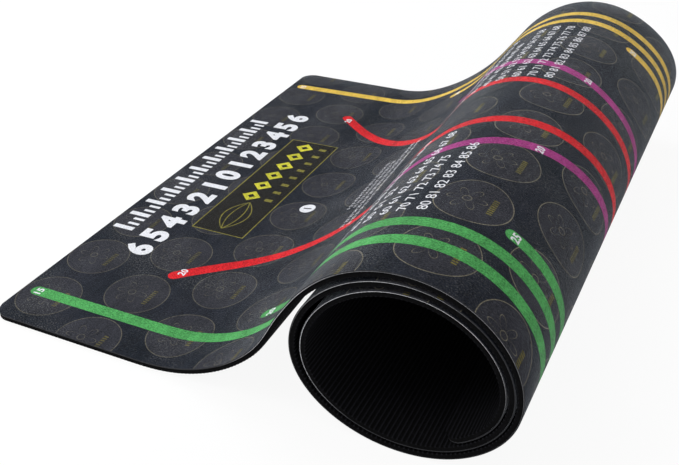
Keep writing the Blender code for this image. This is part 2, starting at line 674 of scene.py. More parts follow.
@dataclass(frozen=True)
class Medallion:
    """A disc with a flower and a row of short bars, repeated in columns half a pitch apart."""

    first_along: float = 0.0325
    first_across: float = -0.286
    pitch_along: float = 0.0770
    pitch_across: float = 0.0770
    column_shift: float = 0.5
    radius: float = 0.0318
    flower_along: float = -0.0060
    petal: float = 0.0165
    petal_count: int = 6
    heart: float = 0.0036
    inner_strength: float = 0.8
    bar_row: float = 0.0155
    bar_height: float = 0.0046
    bar_pitch: float = 0.0030
    bar_share: float = 0.55
    bars_half: float = 0.0120
    line: float = 0.0004
    softness: float = 0.0004

    def group(self) -> bpy.types.NodeTree:
        """Build the pattern as a node group.

        Returns:
            The group: Disc is the filled disc, Line its lines and Label its bars.
        """
        tree, graph, given, out = start_group(
            "medallions", {"Along": "Float", "Across": "Float"}, ("Disc", "Line", "Label")
        )
        columns = graph.over(graph.minus(given["Along"], self.first_along), self.pitch_along)
        column = graph.math("ROUND", columns)
        u = graph.times(graph.minus(columns, column), self.pitch_along)
        shift = graph.times(graph.math("PINGPONG", column, 1.0), self.column_shift)
        from_side = graph.minus(given["Across"], self.first_across)
        rows = graph.plus(graph.over(from_side, self.pitch_across), shift)
        v = graph.times(graph.minus(rows, graph.math("ROUND", rows)), self.pitch_across)
        radius = graph.length(u, v)
        outline = self.drawn(graph, radius, self.radius)
        inner = graph.times(self.flower(graph, u, v), self.inner_strength)
        graph.put(out.inputs["Disc"], graph.span(radius, self.radius, self.radius - self.softness))
        graph.put(out.inputs["Line"], graph.largest(outline, inner))
        graph.put(out.inputs["Label"], self.bars(graph, u, v))
        return tree

    def flower(self, graph: Graph, u: Socket, v: Socket) -> Socket:
        """Draw the outline of the petals and of the heart between them.

        Args:
            graph: The graph to work in.
            u: Place along the mat, from the disc's middle.
            v: Place across the mat, from the disc's middle.

        Returns:
            The lines' mask.
        """
        u = graph.minus(u, self.flower_along)
        radius = graph.length(u, v)
        turned = graph.times(graph.math("ARCTAN2", v, u), self.petal_count / 2)
        petals = graph.times(graph.absolute(graph.math("COSINE", turned)), self.petal)
        return graph.largest(self.drawn(graph, radius, petals), self.drawn(graph, radius, self.heart))

    def bars(self, graph: Graph, u: Socket, v: Socket) -> Socket:
        """Draw a row of short bars across the disc, below the flower.

        Args:
            graph: The graph to work in.
            u: Place along the mat, from the disc's middle.
            v: Place across the mat, from the disc's middle.

        Returns:
            The bars' mask.
        """
        off = graph.absolute(graph.minus(u, self.bar_row))
        beside = graph.math("LESS_THAN", graph.absolute(v), self.bars_half)
        local = graph.math("FRACT", graph.over(v, self.bar_pitch))
        within = graph.times(graph.math("LESS_THAN", local, self.bar_share), beside)
        tall = graph.span(off, self.bar_height / 2 + self.softness / 2, self.bar_height / 2)
        return graph.times(within, tall)

    def drawn(self, graph: Graph, radius: Socket, place: Any) -> Socket:
        """Draw a thin line where the radius meets a place."""
        gap = graph.absolute(graph.minus(radius, place))
        return graph.span(gap, self.line / 2 + self.softness, self.line / 2)


@dataclass(frozen=True)
class Panel:
    """A gold-lined panel across the flat end: a row of diamonds, a row of bars, and a leaf's outline."""

    middle: float = 0.120
    half_along: float = 0.0320
    half_across: float = 0.1190
    line: float = 0.0009
    rows_middle: float = 0.0340
    rows_half: float = 0.0810
    diamond_pitch: float = 0.0270
    diamond_row: float = -0.0065
    diamond_along: float = 0.0120
    diamond_across: float = 0.0115
    diamond_eye: float = 0.40
    bar_pitch: float = 0.0200
    bar_row: float = 0.0175
    bar_along: float = 0.0045
    bar_across: float = 0.0026
    leaf_middle: float = -0.0790
    leaf_half: float = 0.0310
    leaf_width: float = 0.0150
    leaf_vein: float = 0.45
    softness: float = 0.0004

    def group(self) -> bpy.types.NodeTree:
        """Build the panel as a node group.

        Returns:
            The group: Field is its ground, Trim its thin lines and bars, and Figure its diamonds.
        """
        tree, graph, given, out = start_group(
            "gold_panel", {"Along": "Float", "Across": "Float"}, ("Field", "Trim", "Figure")
        )
        across = given["Across"]
        u = graph.minus(given["Along"], self.middle)
        wide = graph.minus(graph.absolute(u), self.half_along)
        tall = graph.minus(graph.absolute(across), self.half_across)
        beyond = graph.largest(wide, tall)
        graph.put(out.inputs["Field"], graph.span(beyond, self.softness, 0.0))
        border = self.thin_line(graph, graph.plus(beyond, self.line / 2))
        v = graph.minus(across, self.rows_middle)
        inside = graph.math("LESS_THAN", graph.absolute(v), self.rows_half)
        bars = graph.times(self.bars(graph, u, v), inside)
        trim = graph.largest(graph.largest(border, bars), self.leaf(graph, u, across))
        graph.put(out.inputs["Trim"], trim)
        graph.put(out.inputs["Figure"], graph.times(self.diamonds(graph, u, v), inside))
        return tree

    def thin_line(self, graph: Graph, off: Socket) -> Socket:
        """Draw a thin line where a distance is nought."""
        return graph.span(graph.absolute(off), self.line / 2 + self.softness, self.line / 2)

    def repeated(self, graph: Graph, across: Socket, pitch: float) -> Socket:
        """Repeat a motif across the panel, so that two meet at the rows' middle.

        Args:
            graph: The graph to work in.
            across: Place across the mat, from the rows' middle.
            pitch: How far apart the motifs are.

        Returns:
            The distance from the middle of the nearest one.
        """
        local = graph.minus(graph.math("FRACT", graph.over(across, pitch)), 0.5)
        return graph.times(graph.absolute(local), pitch)

    def diamonds(self, graph: Graph, u: Socket, across: Socket) -> Socket:
        """Draw a row of diamonds, each with an open eye.

        Args:
            graph: The graph to work in.
            u: Place along the mat, from the panel's middle.
            across: Place across the mat, from the rows' middle.

        Returns:
            The diamonds' mask.
        """
        v = graph.over(self.repeated(graph, across, self.diamond_pitch), self.diamond_across)
        off = graph.absolute(graph.minus(u, self.diamond_row))
        size = graph.plus(graph.over(off, self.diamond_along), v)
        soft = self.softness / self.diamond_across
        solid = graph.span(size, 1.0, 1.0 - soft)
        eye = graph.span(size, self.diamond_eye - soft, self.diamond_eye)
        return graph.times(solid, eye)

    def bars(self, graph: Graph, u: Socket, across: Socket) -> Socket:
        """Draw a row of short bars.

        Args:
            graph: The graph to work in.
            u: Place along the mat, from the panel's middle.
            across: Place across the mat, from the rows' middle.

        Returns:
            The bars' mask.
        """
        v = graph.minus(self.repeated(graph, across, self.bar_pitch), self.bar_across)
        off = graph.absolute(graph.minus(u, self.bar_row))
        return graph.span(graph.largest(graph.minus(off, self.bar_along), v), self.softness, 0.0)

    def leaf(self, graph: Graph, u: Socket, across: Socket) -> Socket:
        """Draw the outline of a slender leaf that lies across the mat, with a smaller one inside.

        Args:
            graph: The graph to work in.
            u: Place along the mat, from the panel's middle.
            across: Place across the mat, from its middle.

        Returns:
            The lines' mask.
        """
        v = graph.over(graph.minus(across, self.leaf_middle), self.leaf_half)
        bow = graph.minus(1.0, graph.times(v, v))
        off = graph.absolute(u)
        outline = self.thin_line(graph, graph.times_plus(bow, -self.leaf_width, off))
        vein = self.thin_line(graph, graph.times_plus(bow, -self.leaf_width * self.leaf_vein, off))
        within = graph.math("GREATER_THAN", bow, 0.0)
        return graph.times(graph.largest(outline, vein), within)


@dataclass(frozen=True)
class RubberGrain:
    """The fine open grain of foamed rubber, with a few pinholes that are sunk and darkened with painted
    shade.
    """

    grain: Noise = Noise(900.0, 3.0, 0.6)
    patches: Noise = Noise(22.0, 2.0, 0.5)
    patch_share: float = 0.5
    pore_scale: float = 420.0
    pore_rim: float = 0.28
    pore_floor: float = 0.12
    darkest: float = 0.7
    lightening: float = 0.6
    pore_shade: float = -0.35

    def group(self) -> bpy.types.NodeTree:
        """Build the grain as a node group.

        Returns:
            The group: Shade multiplies a colour, Height feeds a bump.
        """
        tree, graph, given, out = start_group(
            "rubber_grain", {"Where": "Vector", "Pores": "Float"}, ("Shade", "Height")
        )
        grain = self.grain.read(graph, given["Where"])
        patches = self.patches.read(graph, given["Where"])
        cells = graph.node("ShaderNodeTexVoronoi", {"Vector": given["Where"], "Scale": self.pore_scale})
        pits = graph.span(cells.outputs["Distance"], self.pore_rim, self.pore_floor)
        pits = graph.times(pits, given["Pores"])
        graph.put(out.inputs["Height"], graph.minus(grain, pits))
        light = graph.times_plus(grain, 1 - self.patch_share, graph.times(patches, self.patch_share))
        shade = graph.plus(self.darkest, graph.times(light, self.lightening))
        # Painted shade: the pinholes are darkened as well as sunk.
        graph.put(out.inputs["Shade"], graph.times_plus(pits, self.pore_shade, shade))
        return tree


@dataclass
class Effects:
    """The node groups that the materials share."""

    nap: bpy.types.NodeTree = field(default_factory=lambda: Nap().group())
    stripe: bpy.types.NodeTree = field(default_factory=lambda: StripeRule().group())
    medallion: bpy.types.NodeTree = field(default_factory=lambda: Medallion().group())
    panel: bpy.types.NodeTree = field(default_factory=lambda: Panel().group())
    grain: bpy.types.NodeTree = field(default_factory=lambda: RubberGrain().group())


def start_material(
    name: str, settings: dict[str, Any]
) -> tuple[bpy.types.Material, Graph, bpy.types.Node]:
    """Start a material.

    Args:
        name: The material's name.
        settings: Values for the Principled BSDF's own sockets.

    Returns:
        The material, its graph and its Principled BSDF.
    """
    material = bpy.data.materials.new(name)
    material.use_nodes = True
    graph = Graph(material.node_tree)
    shader = material.node_tree.nodes["Principled BSDF"]
    for label, value in settings.items():
        shader.inputs[label].default_value = value
    return material, graph, shader


@dataclass(frozen=True)
class Bump:
    """How strongly a height turns a shader's normal, and how deep it is in metres."""

    strength: float
    depth: float

    def apply(self, graph: Graph, shader: bpy.types.Node, height: Socket) -> None:
        """Feed a shader's normal from a height."""
        inputs = {"Height": height, "Strength": self.strength, "Distance": self.depth}
        graph.put(shader.inputs["Normal"], graph.node("ShaderNodeBump", inputs).outputs[0])


@dataclass(frozen=True)
class Brushing:
    """How strongly the nap's specks, strokes and patches show."""

    speckle: float
    strokes: float
    patchiness: float

    def nap(self, graph: Graph, effects: Effects, plan: Socket) -> Any:
        """Place the nap on the plan, and return its outputs."""
        amounts = {name.capitalize(): value for name, value in asdict(self).items()}
        return graph.place(effects.nap, {"Where": plan, **amounts})


@dataclass(frozen=True)
class StripePlan:
    """One kind of printed line, on both sides of the middle: where it starts and how it runs."""

    start: float
    settle: float
    spread: float = 0.0
    run: float = 1.0

    def mask(self, graph: Graph, effects: Effects, along: Socket, aside: Socket) -> Socket:
        """Find where the line is printed.

        Args:
            graph: The graph to work in.
            effects: The shared node groups.
            along: Printed distance from the flat end.
            aside: Printed distance from the mat's middle.

        Returns:
            The line's mask.
        """
        inputs = {name.capitalize(): value for name, value in asdict(self).items()}
        return graph.place(effects.stripe, {"Along": along, "Across": aside, **inputs})["Mask"]



@dataclass(frozen=True)
class PrintedSuede:
    """The face's finish: a charcoal print of medallions and coloured lines on brushed suede."""

    ground_dark: Color = display(22, 27, 35)
    ground_light: Color = display(38, 40, 48)
    disc: Color = display(52, 52, 58)
    speck: Color = display(122, 122, 120)
    gold_line: Color = display(124, 118, 102)
    label_gold: Color = display(106, 98, 46)
    panel_ground: Color = display(32, 31, 29)
    panel_gold: Color = display(122, 116, 56)
    figure_gold: Color = display(198, 192, 60)
    near_line: Color = display(76, 154, 84)
    far_line: Color = display(222, 186, 80)
    red_line: Color = display(208, 36, 43)
    purple_line: Color = display(158, 58, 124)
    tone: Noise = Noise(15.0, 4.0, 0.6, spread=(0.3, 0.7))
    wear: Noise = Noise(60.0, 3.0, 0.6, spread=(0.10, 0.50))
    specks: Noise = Noise(620.0, 2.0, 0.6, spread=(0.50, 0.72))
    speck_patches: Noise = Noise(13.0, 2.0, 0.5, spread=(0.46, 0.66))
    disc_strength: float = 0.7
    line_strength: float = 0.9
    speck_strength: float = 0.55
    flat_wear: float = 0.50
    wear_start: float = 0.160
    wear_end: float = 0.420
    side_lines: tuple[StripePlan, ...] = (
        StripePlan(0.0165, 0.284),
        StripePlan(0.2680, 0.256),
        StripePlan(0.5340, 0.228),
    )
    red_fan: StripePlan = StripePlan(0.1250, 0.0196, 0.1869, 0.195)
    purple_fan: StripePlan = StripePlan(0.3150, 0.0360, 0.1474, 0.195)
    wander: Wander = Wander()
    brushing: Brushing = Brushing(1.00, 1.10, 0.60)
    bump: Bump = Bump(0.6, 0.0004)
    roughness: float = 0.90
    sheen: float = 0.55
    sheen_roughness: float = 0.16
    sheen_tint: Color = (0.86, 0.93, 1.0, 1.0)
    specular: float = 0.08

    def material(self, effects: Effects) -> bpy.types.Material:
        """Build the printed suede.

        Args:
            effects: The shared node groups.

        Returns:
            The material.
        """
        settings = {
            "Roughness": self.roughness,
            "Sheen Weight": self.sheen,
            "Sheen Roughness": self.sheen_roughness,
            "Sheen Tint": self.sheen_tint,
            "Specular IOR Level": self.specular,
        }
        material, graph, shader = start_material("printed_suede", settings)
        plan = graph.plan()
        nap = self.brushing.nap(graph, effects, plan)
        color = self.print(graph, effects, plan)
        graph.put(shader.inputs["Base Color"], graph.shade(color, nap["Shade"]))
        self.bump.apply(graph, shader, nap["Height"])
        return material

    def print(self, graph: Graph, effects: Effects, plan: Socket) -> Socket:
        """Lay the print's colours over each other, from the ground up to the lines.

        Args:
            graph: The graph to work in.
            effects: The shared node groups.
            plan: The place on the mat's plan.

        Returns:
            The print's colour.
        """
        place = graph.parts(plan)
        along, across = self.wander.printed(graph, place[0], place[1])
        aside = graph.absolute(across)
        printed = {"Along": along, "Across": across}
        medallions = graph.place(effects.medallion, printed)
        panel = graph.place(effects.panel, printed)
        kept = graph.span(along, self.wear_start, self.wear_end)
        kept = graph.times_plus(kept, 1.0 - self.flat_wear, self.flat_wear)
        worn = graph.times(self.wear.read(graph, plan), kept)
        specks = graph.times(self.specks.read(graph, plan), self.speck_patches.read(graph, plan))
        far = graph.math("GREATER_THAN", across, 0.0)
        side_color = graph.blend(far, self.near_line, self.far_line)
        layers = [
            (graph.times(medallions["Disc"], self.disc_strength), self.disc),
            (graph.times(medallions["Line"], graph.times(worn, self.line_strength)), self.gold_line),
            (graph.times(medallions["Label"], worn), self.label_gold),
            (graph.times(specks, self.speck_strength), self.speck),
            (panel["Field"], self.panel_ground),
            (panel["Trim"], self.panel_gold),
            (panel["Figure"], self.figure_gold),
            (self.purple_fan.mask(graph, effects, along, aside), self.purple_line),
            (self.red_fan.mask(graph, effects, along, aside), self.red_line),
            *((line.mask(graph, effects, along, aside), side_color) for line in self.side_lines),
        ]
        color = graph.blend(self.tone.read(graph, plan), self.ground_dark, self.ground_light)
        for mask, layer in layers:
            color = graph.blend(mask, color, layer)
        return color


@dataclass(frozen=True)
class CutSuede:
    """The face's cut edge: pale backing under dyed nap, with a painted highlight along some stretches
    and painted shade along the rest.
    """

    pale: Color = display(220, 220, 224)
    sealed: Color = display(26, 27, 30)
    dyed: Color = display(28, 29, 34)
    pale_depth: float = 0.48
    depth_fade: float = 0.08
    # Painted highlight: stretches along the mat where the pale backing shows as a lit edge; each is
    # start, end and share.
    bare: tuple[tuple[float, float, float], ...] = (
        (0.295, 0.430, 1.0),
        (0.470, 0.600, 0.45),
        (0.940, 1.040, 1.0),
        (1.350, 1.600, 1.0),
    )
    fade: float = 0.040
    brushing: Brushing = Brushing(0.9, 0.8, 0.8)
    bump: Bump = Bump(0.8, 0.0004)
    roughness: float = 0.9

    def material(self, effects: Effects) -> bpy.types.Material:
        """Build the cut edge.

        Args:
            effects: The shared node groups.

        Returns:
            The material.
        """
        material, graph, shader = start_material("cut_suede_edge", {"Roughness": self.roughness})
        plan = graph.plan()
        nap = self.brushing.nap(graph, effects, plan)
        along = graph.parts(plan)[0]
        # Painted highlight and shade: the backing is pale only along the listed stretches, and dark
        # elsewhere.
        highlight_share = 0.0
        for start, end, share in self.bare:
            highlight_on = graph.span(along, start - self.fade, start + self.fade)
            highlight_off = graph.span(along, end + self.fade, end - self.fade)
            highlight_share = graph.times_plus(graph.times(highlight_on, highlight_off), share, highlight_share)
        backing = graph.blend(highlight_share, self.sealed, self.pale)
        low, high = self.pale_depth - self.depth_fade, self.pale_depth + self.depth_fade
        color = graph.blend(graph.span(graph.depth(), low, high), backing, self.dyed)
        graph.put(shader.inputs["Base Color"], graph.shade(color, nap["Shade"]))
        self.bump.apply(graph, shader, nap["Height"])
        return material


@dataclass(frozen=True)
class Ink:
    """Ink printed on the suede, with the nap showing through it."""

    name: str
    color: Color
    brushing: Brushing = Brushing(0.35, 0.30, 0.1)
    bump: Bump = Bump(0.5, 0.0003)
    roughness: float = 0.9
    sheen: float = 0.1
    sheen_roughness: float = 0.3
    specular: float = 0.1

    def material(self, effects: Effects) -> bpy.types.Material:
        """Build the ink.

        Args:
            effects: The shared node groups.

        Returns:
            The material.
        """
        settings = {
            "Roughness": self.roughness,
            "Sheen Weight": self.sheen,
            "Sheen Roughness": self.sheen_roughness,
            "Specular IOR Level": self.specular,
        }
        material, graph, shader = start_material(self.name, settings)
        nap = self.brushing.nap(graph, effects, graph.plan())
        graph.put(shader.inputs["Base Color"], graph.shade(self.color, nap["Shade"]))
        self.bump.apply(graph, shader, nap["Height"])
        return material


@dataclass(frozen=True)
class NaturalRubber:
    """The base's finish: matte black foamed rubber, with dusty specks and a painted highlight on its rib
    tops, and more pores where cut.
    """

    name: str
    color: Color = display(12, 12, 13)
    dust: Color = display(46, 46, 52)
    dust_specks: Noise = Noise(260.0, 4.0, 0.7, spread=(0.52, 0.74))
    dustiness: float = 0.15
    # Painted highlight: how strongly the tops of the ribs are lightened.
    rubbed: float = 0.40
    rib_crest: float = 0.30
    skin: float = 0.80
    pores: float = 0.3
    bump: Bump = Bump(0.7, 0.0003)
    roughness: float = 0.80
    specular: float = 0.03

    def material(self, effects: Effects) -> bpy.types.Material:
        """Build the rubber.

        Args:
            effects: The shared node groups.

        Returns:
            The material.
        """
        settings = {"Roughness": self.roughness, "Specular IOR Level": self.specular}
        material, graph, shader = start_material(self.name, settings)
        where = graph.node("ShaderNodeTexCoord").outputs["Object"]
        grain = graph.place(effects.grain, {"Where": where, "Pores": self.pores})
        specks = graph.times(self.dust_specks.read(graph, where), self.dustiness)
        # The colour is lightened by the larger of the painted rib-top highlight and the dusty specks.
        color = graph.blend(graph.largest(self.crests(graph), specks), self.color, self.dust)
        graph.put(shader.inputs["Base Color"], graph.shade(color, grain["Shade"]))
        self.bump.apply(graph, shader, grain["Height"])
        return material

    def crests(self, graph: Graph) -> Socket:
        """Find the painted highlight on the tops of the ribs, on the sheet's outer skin.

        Args:
            graph: The graph to work in.

        Returns:
            How much there is, 0 to 1.
        """
        along = graph.parts(graph.plan())[0]
        wave = graph.math("COSINE", graph.times(along, 2 * math.pi / RIB_PITCH))
        outside = graph.span(graph.depth(), self.skin, 1.0)
        return graph.times(graph.times(graph.span(wave, self.rib_crest, 1.0), outside), self.rubbed)


def deselect() -> None:
    """Deselect every object."""
    bpy.ops.object.select_all(action="DESELECT")


def read_points(piece: bpy.types.Object) -> np.ndarray:
    """Read a mesh's points.

    Args:
        piece: The mesh object.

    Returns:
        Its points, as rows.
    """
    points = np.empty(len(piece.data.vertices) * 3)
    piece.data.vertices.foreach_get("co", points)
    return points.reshape(-1, 3)


def write_points(piece: bpy.types.Object, points: np.ndarray) -> None:
    """Move a mesh's points."""
    piece.data.vertices.foreach_set("co", points.ravel())
    piece.data.update()


def map_plan(piece: bpy.types.Object) -> None:
    """Give a mesh its UV map, in metres.

    Args:
        piece: The mesh object, still flat on the plan.
    """
    mesh = piece.data
    while mesh.uv_layers:
        mesh.uv_layers.remove(mesh.uv_layers[0])
    layer = mesh.uv_layers.new(name=PLAN_MAP)
    corners = np.empty(len(mesh.loops), int)
    mesh.loops.foreach_get("vertex_index", corners)
    layer.data.foreach_set("uv", read_points(piece)[corners, :2].ravel())


def thicken(piece: bpy.types.Object, thickness: float, offset: float) -> None:
    """Give a flat mesh a thickness.

    Args:
        piece: The mesh object, which is the active one.
        thickness: The thickness.
        offset: Where it goes: 1 is above the mesh, -1 is below it and 0 is both.
    """
    wall = piece.modifiers.new("thickness", "SOLIDIFY")
    wall.thickness = thickness
    wall.offset = offset
    bpy.ops.object.modifier_apply(modifier=wall.name)


@dataclass(frozen=True)
class Stretch:
    """A stretch of the mat that is modelled as one mesh, with the joint of one bending line.

    Its ends lie in the middle of a strip, where the mat stays flat in every pose.
    """

    name: str
    start: float
    end: float
    joint: str
    replaced: tuple[str, ...]


STRETCHES = (
    Stretch("rolled", 0.115, 1.696, "bend_inner", ("roll",)),
    Stretch("flat_strip", 0.069, 0.115, "bend_middle", ("flap_inner",)),
    Stretch("flat_end", 0.0, 0.069, "bend_outer", ("flap_middle", "flap_outer")),
)


@dataclass(frozen=True)
class Bend:
    """Sizes for a bend over a bending line, from just before it to further past it; they are not used.
    """

    before: float = 0.008
    after: float = 0.014

    def apply(self, piece: bpy.types.Object, joint: dict[str, Any]) -> None:
        """Bake a piece's transform into its mesh; the joint's place is read, but the piece is not bent.

        Args:
            piece: The piece.
            joint: The joint's row in the frame.
        """
        x, y, z = joint["pos_m"]
        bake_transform(piece)


@dataclass
class BondedSheet:
    """A sheet of the mat: a flat grid, given its thickness and then rolled up."""

    line: MatLine
    side: Side
    name: str
    slot: str
    thickness: float
    edge_radius: float
    column_pitch: float
    row_count: int
    smooth_angle: float = math.radians(35)
    edge_steps: int = 3
    corner_steps: int = 8
    least_gap: float = 0.00004
    upright: float = 0.5

    def edge_insets(self) -> np.ndarray:
        """Find how far in from a cut edge its rounding has its points."""
        turns = np.linspace(0, math.pi / 2, self.edge_steps + 1)
        return self.edge_radius * (1 - np.cos(turns))

    def columns(self, stretch: Stretch) -> np.ndarray:
        """Find the columns of points of a stretch.

        Args:
            stretch: The stretch of the mat.

        Returns:
            Their distances along the mat.
        """
        first = math.ceil(stretch.start / self.column_pitch)
        last = math.floor(stretch.end / self.column_pitch)
        found = list(np.arange(first, last + 1) * self.column_pitch)
        corner = np.linspace(0, math.pi / 2, self.corner_steps + 1)
        insets = [*self.edge_insets(), *(self.line.corner_radius * (1 - np.cos(corner)))]
        found += [*insets, *(self.line.length - inset for inset in insets)]
        low, high = stretch.start + self.least_gap, stretch.end - self.least_gap
        kept = [stretch.start]
        for value in sorted(found):
            if low < value < high and value - kept[-1] > self.least_gap:
                kept.append(value)
        return np.array([*kept, stretch.end])

    def rows(self) -> np.ndarray:
        """Find the rows of points.

        Returns:
            Their places across the mat.
        """
        half = self.line.width / 2
        insets = self.edge_insets()
        middle = np.linspace(-half + self.edge_radius, half - self.edge_radius, self.row_count)
        return np.array([*(insets[:-1] - half), *middle, *(half - insets[:-1][::-1])])

    def to_edge(self, distance: np.ndarray, across: np.ndarray) -> np.ndarray:
        """Find how far places on the plan are from the mat's nearest edge."""
        to_side = self.line.half_width(distance) - np.abs(across)
        return np.minimum(to_side, np.minimum(distance, self.line.length - distance))

    def relief(self, plan: np.ndarray) -> np.ndarray:
        """Find how much is taken off the outer side: here, to round the cut edges."""
        inset = np.clip(self.edge_radius - self.to_edge(plan[:, 0], plan[:, 1]), 0, self.edge_radius)
        return self.edge_radius - np.sqrt(self.edge_radius**2 - inset**2)

    def lay_flat(self, stretch: Stretch) -> bpy.types.Object:
        """Add a stretch as a flat grid at its cut size.

        Args:
            stretch: The stretch of the mat.

        Returns:
            The flat sheet.
        """
        columns, rows = self.columns(stretch), self.rows()
        deselect()
        bpy.ops.mesh.primitive_grid_add(
            x_subdivisions=len(columns) - 1, y_subdivisions=len(rows) - 1, size=2
        )
        sheet = bpy.context.object
        sheet.name = f"{self.name}_{stretch.name}"
        points = read_points(sheet)
        column = np.rint((points[:, 0] + 1) / 2 * (len(columns) - 1)).astype(int)
        row = np.rint((points[:, 1] + 1) / 2 * (len(rows) - 1)).astype(int)
        points[:, 0] = columns[column]
        points[:, 1] = rows[row] / (self.line.width / 2) * self.line.half_width(points[:, 0])
        write_points(sheet, points)
        return sheet

    def mark_cut_faces(self, sheet: bpy.types.Object, stretch: Stretch) -> None:
        """Give the cut faces at the mat's own edges, and their rounding, the second material.

        Args:
            sheet: The thick flat sheet.
            stretch: The stretch of the mat.
        """
        count = len(sheet.data.polygons)
        normals, centres = np.empty(count * 3), np.empty(count * 3)
        sheet.data.polygons.foreach_get("normal", normals)
        sheet.data.polygons.foreach_get("center", centres)
        along, across, _ = centres.reshape(-1, 3).T
        walls = np.abs(normals.reshape(-1, 3)[:, 2]) < self.upright
        for seam in (stretch.start, stretch.end):
            if 0 < seam < self.line.length:
                walls &= np.abs(along - seam) > self.least_gap / 2
        walls |= self.to_edge(along, across) < self.edge_radius
        sheet.data.polygons.foreach_set("material_index", walls.astype(int))

    def note_depth(self, sheet: bpy.types.Object) -> None:
        """Note how deep each point lies from the bond, 0 to 1.

        Args:
            sheet: The thick flat sheet.
        """
        depth = np.abs(read_points(sheet)[:, 2]) / self.thickness
        noted = sheet.data.attributes.new(DEPTH_NAME, "FLOAT", "POINT")
        noted.data.foreach_set("value", depth.astype(np.float32))

    def roll(self, sheet: bpy.types.Object) -> None:
        """Round and pattern the outer side of a sheet, and roll it up.

        Args:
            sheet: The thick flat sheet.
        """
        plan = read_points(sheet)
        outer = np.abs(plan[:, 2]) > self.thickness / 2
        plan[:, 2] -= self.side.value * np.where(outer, self.relief(plan), 0.0)
        write_points(sheet, self.line.roll_up(plan, self.side))

    def build(self, stretch: Stretch, materials: Sequence[bpy.types.Material]) -> bpy.types.Object:
        """Model one stretch of the sheet.

        Args:
            stretch: The stretch of the mat.
            materials: The sheet's finish, and that of its cut edge.

        Returns:
            The finished piece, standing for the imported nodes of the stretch.
        """
        sheet = self.lay_flat(stretch)
        for material in materials:
            sheet.data.materials.append(material)
        thicken(sheet, self.thickness, self.side.value)
        map_plan(sheet)
        self.mark_cut_faces(sheet, stretch)
        self.note_depth(sheet)
        self.roll(sheet)
        bpy.ops.object.shade_smooth_by_angle(angle=self.smooth_angle)
        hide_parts(*(f"{self.name}_{body}" for body in stretch.replaced))
        return sheet


@dataclass
class SuedeFace(BondedSheet):
    """The printed suede cloth on top."""

    def __init__(self, line: MatLine) -> None:
        """Take the cloth's sizes.

        Args:
            line: The mat's outline and line.
        """
        super().__init__(
            line,
            Side.FACE,
            name="suede_face",
            slot="printed_suede",
            thickness=line.cloth,
            edge_radius=0.0004,
            column_pitch=0.0022,
            row_count=25,
        )


@dataclass
class RubberBase(BondedSheet):
    """The rubber underneath, ribbed across the mat on its outer side."""

    rib_depth: float = 0.0006
    rib_columns: int = 6

    def __init__(self, line: MatLine) -> None:
        """Take the rubber's sizes.

        Args:
            line: The mat's outline and line.
        """
        super().__init__(
            line,
            Side.BASE,
            name="rubber_base",
            slot="natural_rubber",
            thickness=line.rubber,
            edge_radius=0.0008,
            column_pitch=RIB_PITCH / self.rib_columns,
            row_count=11,
        )

    def relief(self, plan: np.ndarray) -> np.ndarray:
        """Round the cut edges, or sink the grooves between the ribs where they are deeper."""
        grooves = (1 - np.cos(2 * math.pi * plan[:, 0] / RIB_PITCH)) / 2
        return np.maximum(super().relief(plan), self.rib_depth * grooves)


@dataclass(frozen=True)
class Numeral:
    """Printed numbers, read from the near edge to the far one, with their top to the flat end."""

    text: str
    distance: float
    across: float
    height: float
    weight: float = 0.06
    length: float = 0.0


@dataclass(frozen=True)
class Bar:
    """A printed bar."""

    distance: float
    across: float
    length: float
    width: float


@dataclass(frozen=True)
class Disc:
    """A printed disc."""

    distance: float
    across: float
    radius: float


Mark = Numeral | Bar | Disc


@dataclass(frozen=True)
class CountRow:
    """A row of small plain numbers that count up, like those of a long scale."""

    distance: float
    start: float
    end: float
    height: float
    condensed: float = 0.66
    spare: int = 3

    def numeral(self, first: int) -> Numeral:
        """Set as many numbers as the row has room for.

        Args:
            first: The number that it starts with.

        Returns:
            The row's numbers.
        """
        room = (self.end - self.start) / (self.height * self.condensed)
        text = str(first)
        while len(text) + self.spare < room:
            first += 1
            text += f" {first}"
        middle = (self.start + self.end) / 2
        return Numeral(text, self.distance, middle, self.height, 0.0, self.end - self.start)


@dataclass(frozen=True)
class Paragraph:
    """Rows of small numbers under each other, from one margin."""

    last: float
    margin: float
    ends: tuple[float, ...]
    height: float = 0.0090
    row_pitch: float = 0.0172

    def numerals(self) -> list[Numeral]:
        """Set the rows.

        Returns:
            The rows' numbers, from the last row up.
        """
        found = []
        for index, end in enumerate(self.ends):
            row = CountRow(self.last - index * self.row_pitch, self.margin, end, self.height)
            found.append(row.numeral(COUNT_STEP * (len(self.ends) - index)))
        return found


